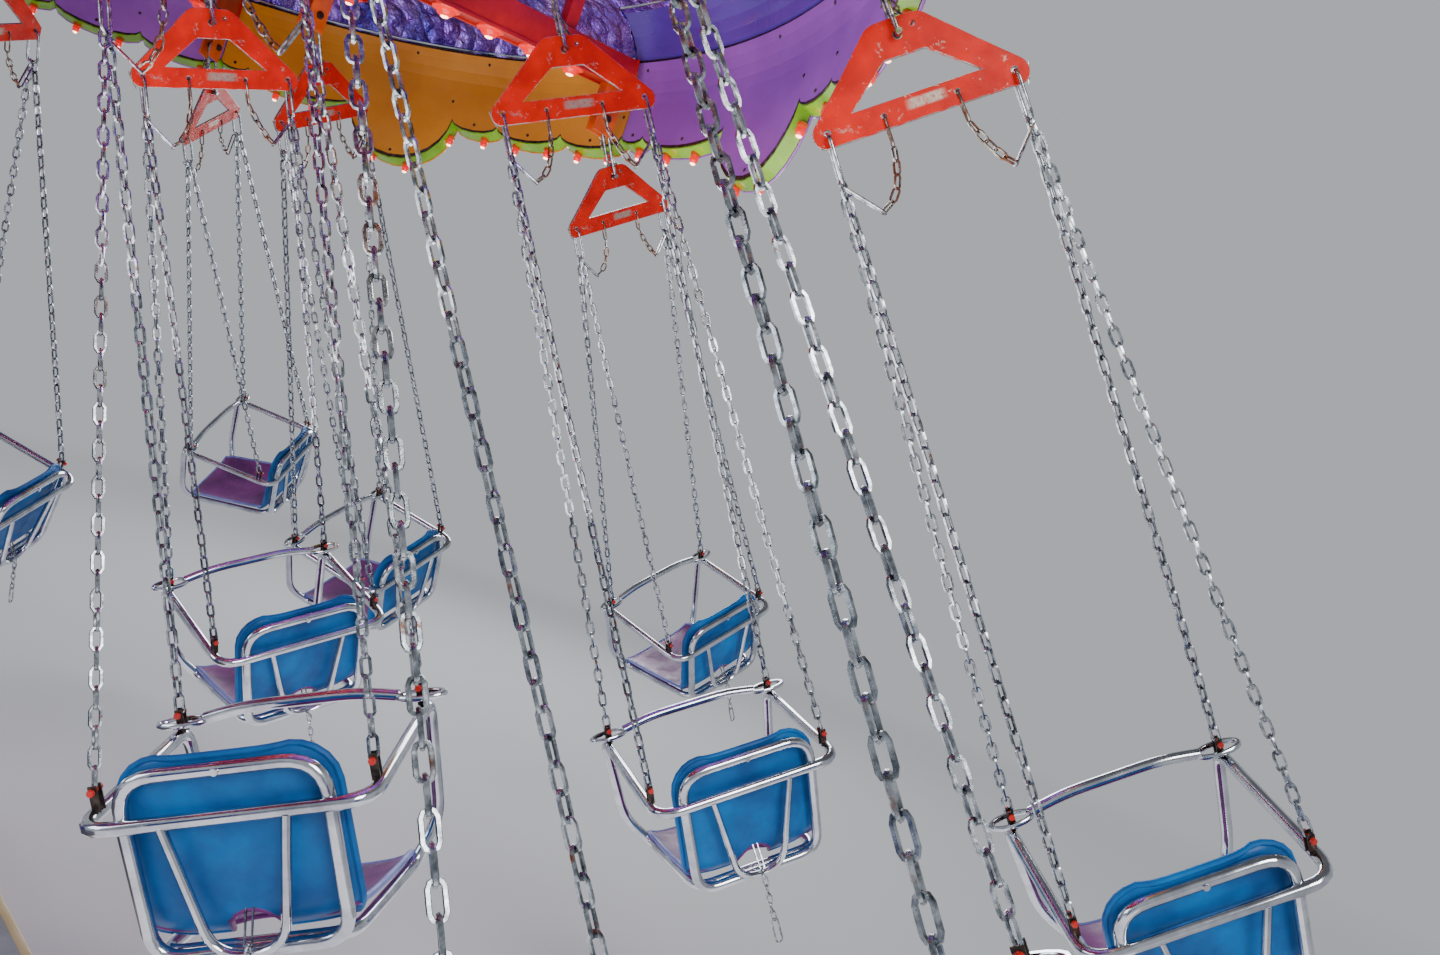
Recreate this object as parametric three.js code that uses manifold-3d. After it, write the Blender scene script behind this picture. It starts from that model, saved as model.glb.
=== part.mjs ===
// Chair swing ride in flight: a fixed mast, a turning crown under a scalloped canopy, and
// twenty-four chairs in three rows. Millimetres, Z up, origin on the ground under the mast.
// The crown turns counter-clockwise seen from above, so each chair faces that way.
import * as THREE from "three";
import { mergeVertices } from "three/addons/utils/BufferGeometryUtils.js";
import Module from "manifold-3d";

const wasm = await Module();
wasm.setup();

// Ride layout.
const BAYS = 8;
const BAY_ANGLE = (2 * Math.PI) / BAYS;
const PIN_HEIGHT = 2900;
// Each row: hang-pin radius, pin height against PIN_HEIGHT, part of a bay past the main arm,
// drop from the hanger's holes to the middle of the chair's arms, and the angle out from plumb
// and the sway forward, in degrees, of four neighbouring swings.
const ROWS = {
  outer: {
    radius: 2555,
    rise: 0,
    offset: 0,
    drop: 1640,
    out: [37, 35.3, 35.2, 36.8],
    sway: [7, 0, -8, 3],
  },
  mid: {
    radius: 1907,
    rise: 28,
    offset: 0.5,
    drop: 1800,
    out: [30, 31.8, 31.6, 34],
    sway: [-6, -2, 2, 1],
  },
  inner: {
    radius: 1152,
    rise: -158,
    offset: 0,
    drop: 1580,
    out: [24.6, 24.8, 24.7, 24.3],
    sway: [-2, 1, 1, -2],
  },
};

// Hanger: an eye on the hang pin, a long link and a triangular plate.
const PIN_RADIUS = 8;
const EYE_RADIUS = 22;
const EYE_BORE = 9.5;
const EYE_WIDTH = 22;
const LINK_LENGTH = 200;
const LINK_SIZE = 14;
const PLATE_DROP = 145;
const PLATE_THICKNESS = 10;
const PLATE_HOLE_X = 200;
const PLATE_HOLE_HALF_WIDTH = 6.2;
const PLATE_HOLE_HALF_HEIGHT = 10.5;
const HOLE_LINE = LINK_LENGTH + PLATE_DROP;

// Chains, from the plate's bottom corners to the chair's arms.
const SHACKLE_HALF = 27;
const SHACKLE_LENGTH = 100;
const CHAIN_RADIUS = 8;

// Chair, measured from the centre of its arm-level hoop. It hangs with its front raised, since
// its rear chains are the longer ones.
const RECLINE = 14;
const TUBE_RADIUS = 14;
const ARM_X = 260;
const LUG_Y = 188;
const LUG_INSET = 12;
const HOOP_FRONT = 206;
const HOOP_REAR = -252;
const REAR_CORNER = 58;
const LEG_BEND = [243, 204, -268];
const LEG_END = [172, 165, -345];
const BACK_HALF = 190;
const BACK_TOP = 92;
const BACK_FOOT = -268;
const BACK_Y = -238;
const SHELL_HALF = 197;
const SHELL_THICKNESS = 12;
const SHELL_REAR = -232;
const SHELL_TOP = 112;
const PAN_REAR_Z = -247;
const PAN_FRONT = 190;
const PAN_FRONT_Z = -357;
const NOTCH_RADIUS = 52;
const LAP_RISE = 16;

// Arms and brackets under the canopy.
const ARM_START = 240;
const MAIN_ARM_END = 2610;
const MID_ARM_END = 2080;
const ARM_SLOPE = 0.11;
const ARM_HEIGHT = 110;
const ARM_HALF_WIDTH = 42;
const MAIN_ARM_UNDER = 120;
const MID_ARM_UNDER = 155;
const CHEEK_HALF_LENGTH = 42;
const CHEEK_THICKNESS = 8;
const CHEEK_INSIDE = 17;
const CHEEK_BELOW = 56;

// Canopy, heights against PIN_HEIGHT.
const RIM_RADIUS = 2655;
const CANOPY_THICKNESS = 15;
const LEDGE_Z = 410;
const CEILING_RADIUS = 1540;
const CEILING_Z = 440;
const PANEL_GAP = 0.6;
const PANEL_SEGMENTS = 8;
const HUB_RADIUS = 300;
const HUB_BELOW = 205;
const FIT_GAP = 0.3;

// Mast and base.
const MAST_RADIUS = 235;
const PLINTH_RADIUS = 1500;
const PLINTH_HEIGHT = 120;

const colours = {
  hanger: new THREE.MeshStandardMaterial({ color: 0xe8331c, roughness: 0.45, metalness: 0.1 }),
  chair: new THREE.MeshStandardMaterial({ color: 0xb9bcc4, roughness: 0.25, metalness: 0.9 }),
  frame: new THREE.MeshStandardMaterial({ color: 0xd8341f, roughness: 0.5, metalness: 0.1 }),
  violet: new THREE.MeshStandardMaterial({ color: 0x7a3fb4, roughness: 0.4, metalness: 0 }),
  amber: new THREE.MeshStandardMaterial({ color: 0xe08a1e, roughness: 0.4, metalness: 0 }),
  ceiling: new THREE.MeshStandardMaterial({ color: 0x4a3aa8, roughness: 0.2, metalness: 0.4 }),
  roof: new THREE.MeshStandardMaterial({ color: 0x8a4cc0, roughness: 0.45, metalness: 0 }),
  base: new THREE.MeshStandardMaterial({ color: 0x3b3f8f, roughness: 0.5, metalness: 0.2 }),
};

const v = (x, y, z) => new THREE.Vector3(x, y, z);

// A closed surface as a solid, turned outwards if it came inside out.
function solidOf(geometry) {
  const bare = geometry.clone();
  bare.deleteAttribute("normal");
  bare.deleteAttribute("uv");
  const merged = mergeVertices(bare, 1e-4);
  const vertProperties = new Float32Array(merged.attributes.position.array);
  const triVerts = new Uint32Array(merged.index.array);
  const made = new wasm.Manifold(new wasm.Mesh({ numProp: 3, vertProperties, triVerts }));
  if (made.volume() > 0) return made;
  const turned = triVerts.slice();
  for (let i = 0; i < turned.length; i += 3) {
    [turned[i + 1], turned[i + 2]] = [turned[i + 2], turned[i + 1]];
  }
  return new wasm.Manifold(new wasm.Mesh({ numProp: 3, vertProperties, triVerts: turned }));
}

function geometryOf(solid) {
  const mesh = solid.getMesh();
  const positions = new Float32Array(mesh.numVert * 3);
  for (let i = 0; i < mesh.numVert; i += 1) {
    const start = i * mesh.numProp;
    positions.set(mesh.vertProperties.subarray(start, start + 3), i * 3);
  }
  const geometry = new THREE.BufferGeometry();
  geometry.setAttribute("position", new THREE.BufferAttribute(positions, 3));
  geometry.setIndex(new THREE.BufferAttribute(mesh.triVerts, 1));
  const faceted = geometry.toNonIndexed();
  faceted.computeVertexNormals();
  return faceted;
}

const join = (solids) => solids.reduce((whole, piece) => whole.add(piece));

// Rings of points joined into a surface, with flat caps unless the rings close on themselves.
function skin(rings, closed, capTriangles) {
  const size = rings[0].length;
  const positions = rings.flat().flatMap((p) => [p.x, p.y, p.z]);
  const index = [];
  const last = closed ? rings.length : rings.length - 1;
  for (let i = 0; i < last; i += 1) {
    const here = i * size;
    const next = ((i + 1) % rings.length) * size;
    for (let j = 0; j < size; j += 1) {
      const k = (j + 1) % size;
      index.push(here + j, here + k, next + k, here + j, next + k, next + j);
    }
  }
  if (!closed) {
    const end = (rings.length - 1) * size;
    for (const [a, b, c] of capTriangles) {
      index.push(a, c, b, end + a, end + b, end + c);
    }
  }
  const geometry = new THREE.BufferGeometry();
  geometry.setAttribute("position", new THREE.Float32BufferAttribute(positions, 3));
  geometry.setIndex(index);
  return solidOf(geometry);
}

// A round or square bar along a path; `across` is a direction square to the path's start.
function bar(points, radius, sides, across, closed = false) {
  const rings = [];
  let side = across.clone();
  const count = points.length;
  for (let i = 0; i < count; i += 1) {
    const before = closed ? points[(i + count - 1) % count] : points[Math.max(i - 1, 0)];
    const after = closed ? points[(i + 1) % count] : points[Math.min(i + 1, count - 1)];
    const along = after.clone().sub(before).normalize();
    side = side.clone().addScaledVector(along, -side.dot(along)).normalize();
    const other = along.clone().cross(side);
    const ring = [];
    for (let k = 0; k < sides; k += 1) {
      const angle = ((k + 0.5) * 2 * Math.PI) / sides;
      const point = points[i].clone().addScaledVector(side, radius * Math.cos(angle));
      ring.push(point.addScaledVector(other, radius * Math.sin(angle)));
    }
    rings.push(ring);
  }
  const fan = [];
  for (let k = 1; k < sides - 1; k += 1) fan.push([0, k, k + 1]);
  return skin(rings, closed, fan);
}

// A path whose corners are cut off, each at its own reach; a reach of 0 leaves the corner.
function eased(points, reaches, closed = false) {
  const count = points.length;
  const path = [];
  points.forEach((corner, i) => {
    if (!closed && (i === 0 || i === count - 1)) {
      path.push(corner);
      return;
    }
    const reach = Array.isArray(reaches) ? reaches[i] : reaches;
    const before = points[(i + count - 1) % count].clone().sub(corner).normalize();
    const after = points[(i + 1) % count].clone().sub(corner).normalize();
    const start = corner.clone().addScaledVector(before, reach);
    const end = corner.clone().addScaledVector(after, reach);
    if (reach === 0) path.push(corner);
    else path.push(start, end);
  });
  return path;
}

function block(x0, x1, y0, y1, z0, z1) {
  const geometry = new THREE.BoxGeometry(x1 - x0, y1 - y0, z1 - z0);
  geometry.translate((x0 + x1) / 2, (y0 + y1) / 2, (z0 + z1) / 2);
  return solidOf(geometry);
}

// An outline in the X-Z plane given a thickness about Y = 0.
function sheet(outline, thickness) {
  const shape = new THREE.Shape(outline.map(([x, z]) => new THREE.Vector2(x, z)));
  const geometry = new THREE.ExtrudeGeometry(shape, { depth: thickness, bevelEnabled: false });
  geometry.rotateX(Math.PI / 2);
  geometry.translate(0, thickness / 2, 0);
  return solidOf(geometry);
}

// A round bar across the swing plane, centred on Y = 0.
function crossPin(x, z, radius, length, sides = 6) {
  const ends = [v(x, -length / 2, z), v(x, length / 2, z)];
  return bar(ends, radius, sides, v(1, 0, 0));
}

// A profile of [radius, height] points turned about Z; a full turn closes on itself.
function turned(profileAt, from, to, segments, full = false) {
  const rings = [];
  const last = full ? segments - 1 : segments;
  for (let i = 0; i <= last; i += 1) {
    const angle = from + ((to - from) * i) / segments;
    const ring = profileAt(angle);
    rings.push(ring.map(([r, z]) => v(r * Math.cos(angle), r * Math.sin(angle), z)));
  }
  const outline = profileAt(from).map(([r, z]) => new THREE.Vector2(r, z));
  const cap = THREE.ShapeUtils.triangulateShape(outline, []);
  const capArea = THREE.ShapeUtils.area(cap[0].map((k) => outline[k]));
  const agrees = capArea * THREE.ShapeUtils.area(outline) > 0;
  return skin(rings, full, agrees ? cap : cap.map(([a, b, c]) => [a, c, b]));
}

// A stack of [radius, height] rings from the bottom up, closed by flat ends.
function column(rings, sides, turn = 0) {
  const loops = rings.map(([radius, z]) => {
    const ring = [];
    for (let k = 0; k < sides; k += 1) {
      const angle = turn + (k * 2 * Math.PI) / sides;
      ring.push(v(radius * Math.cos(angle), radius * Math.sin(angle), z));
    }
    return ring;
  });
  const fan = [];
  for (let k = 1; k < sides - 1; k += 1) fan.push([0, k, k + 1]);
  return skin(loops, false, fan);
}

const turnedAbout = (solid, angle) => solid.rotate([0, 0, THREE.MathUtils.radToDeg(angle)]);

function hangerSolid() {
  const top = -LINK_LENGTH + 28;
  const low = -HOLE_LINE - 29;
  const rightSide = [
    [56, top],
    [231, -HOLE_LINE + 8],
    [235, -HOLE_LINE - 11],
    [213, low],
  ];
  const leftSide = rightSide.map(([x, z]) => [-x, z]).reverse();
  const outline = [...rightSide, ...leftSide];
  const opening = [
    [45, -242],
    [142, -322],
    [-142, -322],
    [-45, -242],
  ];
  const hole = (x) => {
    const w = PLATE_HOLE_HALF_WIDTH;
    const h = PLATE_HOLE_HALF_HEIGHT;
    const t = PLATE_THICKNESS;
    return block(x - w, x + w, -t, t, -HOLE_LINE - h, -HOLE_LINE + h);
  };
  const plate = sheet(outline, PLATE_THICKNESS)
    .subtract(sheet(opening, 2 * PLATE_THICKNESS))
    .subtract(hole(-PLATE_HOLE_X))
    .subtract(hole(PLATE_HOLE_X));
  const half = LINK_SIZE / 2;
  const link = block(-half, half, -half, half, top - 25, -EYE_BORE - 5);
  const eye = crossPin(0, 0, EYE_RADIUS, EYE_WIDTH);
  return join([plate, link, eye]).subtract(crossPin(0, 0, EYE_BORE, 2 * EYE_WIDTH));
}

// The front and rear chains of one side, with the long link that goes through the plate's hole.
function chainPair(side, drop) {
  const x = side * PLATE_HOLE_X;
  const lean = THREE.MathUtils.degToRad(RECLINE);
  const reach = LUG_Y - LUG_INSET;
  const half = (end) => [
    v(side * (ARM_X - LUG_INSET), end * reach * Math.cos(lean), end * reach * Math.sin(lean) - drop),
    v(x, end * SHACKLE_HALF, -SHACKLE_LENGTH),
    v(x, end * SHACKLE_HALF, 0),
  ];
  return bar([...half(1), ...half(-1).reverse()], CHAIN_RADIUS, 4, v(1, 0, 0));
}

// The bent tubes: the hoop with its front legs, the loop of the back and the lap bar.
function chairFrame() {
  const right = [
    v(...LEG_END),
    v(...LEG_BEND),
    v(ARM_X, HOOP_FRONT, 0),
    v(ARM_X, HOOP_REAR, 0),
  ];
  const left = right.map((p) => v(-p.x, p.y, p.z)).reverse();
  const reaches = [0, 40, 34, REAR_CORNER, REAR_CORNER, 34, 40, 0];
  const back = [
    v(-BACK_HALF, BACK_Y, BACK_FOOT),
    v(BACK_HALF, BACK_Y, BACK_FOOT),
    v(BACK_HALF, BACK_Y, BACK_TOP),
    v(-BACK_HALF, BACK_Y, BACK_TOP),
  ];
  const lap = [
    v(-ARM_X, LUG_Y - 8, LAP_RISE),
    v(0, LUG_Y, LAP_RISE + 30),
    v(ARM_X, LUG_Y - 8, LAP_RISE),
  ];
  return join([
    bar(eased([...right, ...left], reaches), TUBE_RADIUS, 4, v(0, 1, 0)),
    bar(eased(back, [50, 50, 64, 64], true), TUBE_RADIUS, 4, v(0, 1, 0), true),
    bar(lap, TUBE_RADIUS, 4, v(0, 0, 1)),
  ]);
}

// The back and the pan, bent from one sheet, with a round hole through the bend.
function chairShell() {
  const t = SHELL_THICKNESS;
  const profile = [
    [SHELL_REAR, PAN_REAR_Z],
    [PAN_FRONT, PAN_FRONT_Z],
    [PAN_FRONT, PAN_FRONT_Z + t],
    [SHELL_REAR + 40, PAN_REAR_Z + 2],
    [SHELL_REAR + t, PAN_REAR_Z + 40],
    [SHELL_REAR + t, SHELL_TOP],
    [SHELL_REAR, SHELL_TOP],
  ];
  const bent = sheet(profile, 2 * SHELL_HALF).rotate([0, 0, 90]);
  const corners = [
    [-SHELL_HALF - 10, PAN_FRONT_Z - 10],
    [SHELL_HALF + 10, PAN_FRONT_Z - 10],
    [SHELL_HALF + 10, SHELL_TOP - 70],
    [SHELL_HALF - 60, SHELL_TOP + 10],
    [-SHELL_HALF + 60, SHELL_TOP + 10],
    [-SHELL_HALF - 10, SHELL_TOP - 70],
  ];
  const notch = crossPin(0, PAN_REAR_Z, NOTCH_RADIUS, 90, 8).translate([0, SHELL_REAR, 0]);
  return bent.intersect(sheet(corners, 4 * ARM_X)).subtract(notch);
}

function chairSolid(drop) {
  const seat = join([chairFrame(), chairShell()]);
  const hung = seat.rotate([RECLINE, 0, 0]).translate([0, 0, -drop]);
  return join([hung, chainPair(-1, drop), chainPair(1, drop)]);
}

// One arm: a beam rising outwards, with a clevis bracket at each hang pin.
function armSolid(end, under, underRadius, pins) {
  const underside = (r) => under + ARM_SLOPE * (r - underRadius);
  const beam = sheet(
    [
      [ARM_START, underside(ARM_START)],
      [end, underside(end)],
      [end, underside(end) + ARM_HEIGHT],
      [ARM_START, underside(ARM_START) + ARM_HEIGHT],
    ],
    2 * ARM_HALF_WIDTH,
  );
  const pieces = [beam];
  for (const { radius, rise } of pins) {
    const roof = underside(radius) + 20;
    for (const side of [-1, 1]) {
      const inner = side * CHEEK_INSIDE;
      const outer = side * (CHEEK_INSIDE + CHEEK_THICKNESS);
      const x0 = radius - CHEEK_HALF_LENGTH;
      const x1 = radius + CHEEK_HALF_LENGTH;
      const y0 = Math.min(inner, outer);
      pieces.push(block(x0, x1, y0, y0 + CHEEK_THICKNESS, rise - CHEEK_BELOW, roof));
    }
    pieces.push(crossPin(radius, rise, PIN_RADIUS, 2 * (CHEEK_INSIDE + CHEEK_THICKNESS) - 2));
  }
  return join(pieces);
}

function crownFrameSolid() {
  const main = armSolid(MAIN_ARM_END, MAIN_ARM_UNDER, 2500, [ROWS.outer, ROWS.inner]);
  const mid = armSolid(MID_ARM_END, MID_ARM_UNDER, ROWS.mid.radius, [ROWS.mid]);
  const posts = (r, half, z) => block(r - half, r + half, -half, half, z, LEDGE_Z - FIT_GAP);
  const mainWhole = join([main, posts(2300, 25, 170)]);
  const midWhole = join([mid, posts(2030, 25, 240)]);
  const hub = column(
    [
      [HUB_RADIUS, -HUB_BELOW],
      [HUB_RADIUS, 130],
      [HUB_RADIUS - 120, 200],
      [HUB_RADIUS - 120, CEILING_Z - FIT_GAP],
    ],
    16,
  );
  const pieces = [hub];
  for (let bay = 0; bay < BAYS; bay += 1) {
    pieces.push(turnedAbout(mainWhole, bay * BAY_ANGLE));
    pieces.push(turnedAbout(midWhole, (bay + 0.5) * BAY_ANGLE));
  }
  return join(pieces).translate([0, 0, PIN_HEIGHT]);
}

// Height of the scalloped rim's lower edge at a part (0 to 1) of the bay.
function rimEdge(part) {
  const lobes = 4;
  const scallop = 26 * Math.abs(Math.sin(part * lobes * Math.PI));
  const tip = 150 * Math.exp(-(((part - 0.55) / 0.11) ** 2));
  return -25 - scallop - tip;
}

function panelProfile(part) {
  const edge = rimEdge(part);
  const t = CANOPY_THICKNESS;
  return [
    [RIM_RADIUS, edge],
    [RIM_RADIUS, 250],
    [RIM_RADIUS - 110, 365],
    [2350, LEDGE_Z],
    [2000, LEDGE_Z],
    [CEILING_RADIUS + 3, CEILING_Z],
    [CEILING_RADIUS + 3, CEILING_Z + t],
    [2000, LEDGE_Z + t],
    [2352, LEDGE_Z + t],
    [RIM_RADIUS - 104, 379],
    [RIM_RADIUS + t, 257],
    [RIM_RADIUS + t, edge],
  ];
}

function panelSolid(bay) {
  const margin = PANEL_GAP / RIM_RADIUS;
  const from = bay * BAY_ANGLE + margin;
  const to = (bay + 1) * BAY_ANGLE - margin;
  const profileAt = (angle) => panelProfile(angle / BAY_ANGLE - bay);
  return turned(profileAt, from, to, PANEL_SEGMENTS).translate([0, 0, PIN_HEIGHT]);
}

function ceilingSolid() {
  const rings = [
    [CEILING_RADIUS, CEILING_Z],
    [CEILING_RADIUS, CEILING_Z + CANOPY_THICKNESS],
  ];
  return column(rings, 24).translate([0, 0, PIN_HEIGHT]);
}

function roofSolid() {
  const foot = LEDGE_Z + CANOPY_THICKNESS + FIT_GAP;
  const profile = [
    [2690, 330],
    [2715, 330],
    [2715, 372],
    [2350, 560],
    [1500, 760],
    [560, 890],
    [560, 1110],
    [540, 1110],
    [540, 874],
    [1500, 744],
    [2265, 564],
    [2265, foot],
    [2290, foot],
    [2290, 556],
  ];
  const shell = turned(() => profile, 0, 2 * Math.PI, 24, true);
  const cap = column([[565, 1100], [565, 1150], [300, 1215], [60, 1240], [60, 1330]], 12);
  const ball = new THREE.IcosahedronGeometry(110, 1);
  ball.translate(0, 0, 1420);
  return join([shell, cap, solidOf(ball)]).translate([0, 0, PIN_HEIGHT]);
}

function baseSolid() {
  const top = PIN_HEIGHT - HUB_BELOW - FIT_GAP;
  const pieces = [
    column([[PLINTH_RADIUS, 0], [PLINTH_RADIUS, PLINTH_HEIGHT]], BAYS, BAY_ANGLE / 2),
    column(
      [
        [430, PLINTH_HEIGHT - 5],
        [400, 520],
        [MAST_RADIUS + 20, 700],
        [MAST_RADIUS, 760],
        [MAST_RADIUS, top - 90],
        [HUB_RADIUS + 25, top - 60],
        [HUB_RADIUS + 25, top],
      ],
      12,
    ),
    block(180, 480, -120, 120, top - 420, top - 110),
  ];
  return join(pieces);
}

function mesh(name, geometry, material) {
  const made = new THREE.Mesh(geometry, material);
  made.name = name;
  return made;
}

const ride = new THREE.Group();
ride.name = "chair_swing_ride";
const crown = new THREE.Group();
crown.name = "crown";
ride.add(mesh("base_mast", geometryOf(baseSolid()), colours.base), crown);
crown.add(
  mesh("crown_frame", geometryOf(crownFrameSolid()), colours.frame),
  mesh("crown_ceiling", geometryOf(ceilingSolid()), colours.ceiling),
  mesh("crown_roof", geometryOf(roofSolid()), colours.roof),
);
for (let bay = 0; bay < BAYS; bay += 1) {
  const colour = bay % 2 ? colours.amber : colours.violet;
  crown.add(mesh(`canopy_panel_${bay + 1}`, geometryOf(panelSolid(bay)), colour));
}

const hangerGeometry = geometryOf(hangerSolid());
for (const [row, { radius, rise, offset, drop, out, sway }] of Object.entries(ROWS)) {
  const chairGeometry = geometryOf(chairSolid(drop));
  for (let bay = 0; bay < BAYS; bay += 1) {
    const name = `swing_${row}_${bay + 1}`;
    const azimuth = (bay + offset) * BAY_ANGLE;
    const pin = new THREE.Group();
    pin.name = `${name}_pin`;
    pin.position.set(radius * Math.cos(azimuth), radius * Math.sin(azimuth), PIN_HEIGHT + rise);
    pin.rotation.z = azimuth;
    const flown = new THREE.Group();
    flown.name = `${name}_flown`;
    flown.rotation.y = -THREE.MathUtils.degToRad(out[bay % out.length]);
    const swayed = new THREE.Group();
    swayed.name = `${name}_swayed`;
    swayed.position.z = -HOLE_LINE;
    swayed.rotation.x = THREE.MathUtils.degToRad(sway[bay % sway.length]);
    swayed.add(mesh(`${name}_chair`, chairGeometry, colours.chair));
    flown.add(mesh(`${name}_hanger`, hangerGeometry, colours.hanger), swayed);
    pin.add(flown);
    crown.add(pin);
  }
}

export default ride;
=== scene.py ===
"""Looks for the chair swing ride: real chain links, hangers, chairs, canopy, lamps and mast.

Metres, Z up, in the row frame. The swings share their shapes, each placed by its own matrix.
"""

import random
from math import atan, copysign, cos, pi, radians, sin, sqrt, tan

import bmesh
import bpy
import numpy as np
from mathutils import Matrix, Vector


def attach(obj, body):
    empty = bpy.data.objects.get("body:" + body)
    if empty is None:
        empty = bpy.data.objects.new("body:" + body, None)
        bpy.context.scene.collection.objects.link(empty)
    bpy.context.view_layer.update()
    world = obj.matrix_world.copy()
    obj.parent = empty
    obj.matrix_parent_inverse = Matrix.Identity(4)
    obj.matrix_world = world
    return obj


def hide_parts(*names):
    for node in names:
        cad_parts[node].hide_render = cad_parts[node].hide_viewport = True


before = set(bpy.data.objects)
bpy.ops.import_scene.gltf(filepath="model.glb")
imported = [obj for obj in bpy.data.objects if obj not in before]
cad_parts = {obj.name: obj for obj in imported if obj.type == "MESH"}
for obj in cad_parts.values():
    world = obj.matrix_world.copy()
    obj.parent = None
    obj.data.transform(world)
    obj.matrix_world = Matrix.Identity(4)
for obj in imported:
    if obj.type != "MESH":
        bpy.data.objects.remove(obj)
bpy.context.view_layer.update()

# ---- layout, as in the CAD part
BAYS = 8
BAY = 2 * pi / BAYS
PIN_HEIGHT = 2.9
# Pin radius, rise over PIN_HEIGHT, offset in bays, drop of the chains, degrees out, degrees of sway.
ROWS = {
    "outer": (2.555, 0, 0, 1.64, (37, 35.3, 35.2, 36.8), (7, 0, -8, 3)),
    "mid": (1.907, 0.028, 0.5, 1.8, (30, 31.8, 31.6, 34), (-6, -2, 2, 1)),
    "inner": (1.152, -0.158, 0, 1.58, (24.6, 24.8, 24.7, 24.3), (-2, 1, 1, -2)),
}
OUTER_PIN, MID_PIN, INNER_PIN = (row[0] for row in ROWS.values())
PLATE_HOLE_X = 0.2
PLATE_HOLE_Z = -0.345
BOLT_Z = -0.2
RECLINE = radians(14)
ARM_X = 0.26
HOOP_FRONT = 0.206
HOOP_REAR = -0.253
LUG_X = 0.252
LUG_Y = 0.18
RIM_RADIUS = 2.655
LEDGE_Z = 0.41
CEILING_RADIUS = 1.54
CEILING_Z = 0.44
ARM_SLOPE = 0.11
# Height of an arm's underside at one radius: long arms at 0, short arms at half a bay.
ARM_UNDERSIDE = {0: (0.12, 2.5), 0.5: (0.155, MID_PIN)}


def angles(count, shift=0):
    return [2 * pi * (k + shift) / count for k in range(count)]


def polar(radius, angle, z):
    """The point at a radius and an angle, z over the pins."""
    return radius * cos(angle), radius * sin(angle), PIN_HEIGHT + z


def moved(x, y, z):
    return Matrix.Translation((x, y, z))


def turned(angle, axis="Z"):
    return Matrix.Rotation(angle, 4, axis)


def aloft(angle, radius, z, tilt=0):
    """A place on the crown, z over the pins, its x axis pointing outward and up by the tilt."""
    return turned(angle) @ moved(radius, 0, PIN_HEIGHT + z) @ turned(-tilt, "Y")


def new_object(name, data):
    made = bpy.data.objects.new(name, data)
    bpy.context.scene.collection.objects.link(made)
    return made


# ---- camera
CAMERA_AT = Vector((2.6296, -2.3689, PIN_HEIGHT - 1.1708))
CAMERA_RIGHT = Vector((0.9511, 0.0009, 0.309))
CAMERA_AHEAD = Vector((-0.0077, 0.9998, 0.0208))
LENS = 29.53


def place_camera():
    data = bpy.data.cameras.new("camera")
    data.lens = LENS
    data.sensor_width = 36
    data.sensor_fit = "HORIZONTAL"
    data.clip_start = 0.03
    data.clip_end = 400
    camera = new_object("camera", data)
    ahead = CAMERA_AHEAD.normalized()
    right = (CAMERA_RIGHT - ahead * CAMERA_RIGHT.dot(ahead)).normalized()
    up = right.cross(ahead).normalized()
    axes = Matrix((right, up, -ahead)).transposed()
    camera.matrix_world = Matrix.Translation(CAMERA_AT) @ axes.to_4x4()
    bpy.context.scene.camera = camera


place_camera()


# ---- materials
def linear(hex_colour):
    values = [int(hex_colour[i : i + 2], 16) / 255 for i in (0, 2, 4)]
    return [v / 12.92 if v <= 0.04045 else ((v + 0.055) / 1.055) ** 2.4 for v in values] + [1]


def scaled(hex_colour, factor):
    return [min(1, c * factor) for c in linear(hex_colour)[:3]] + [1]


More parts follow.
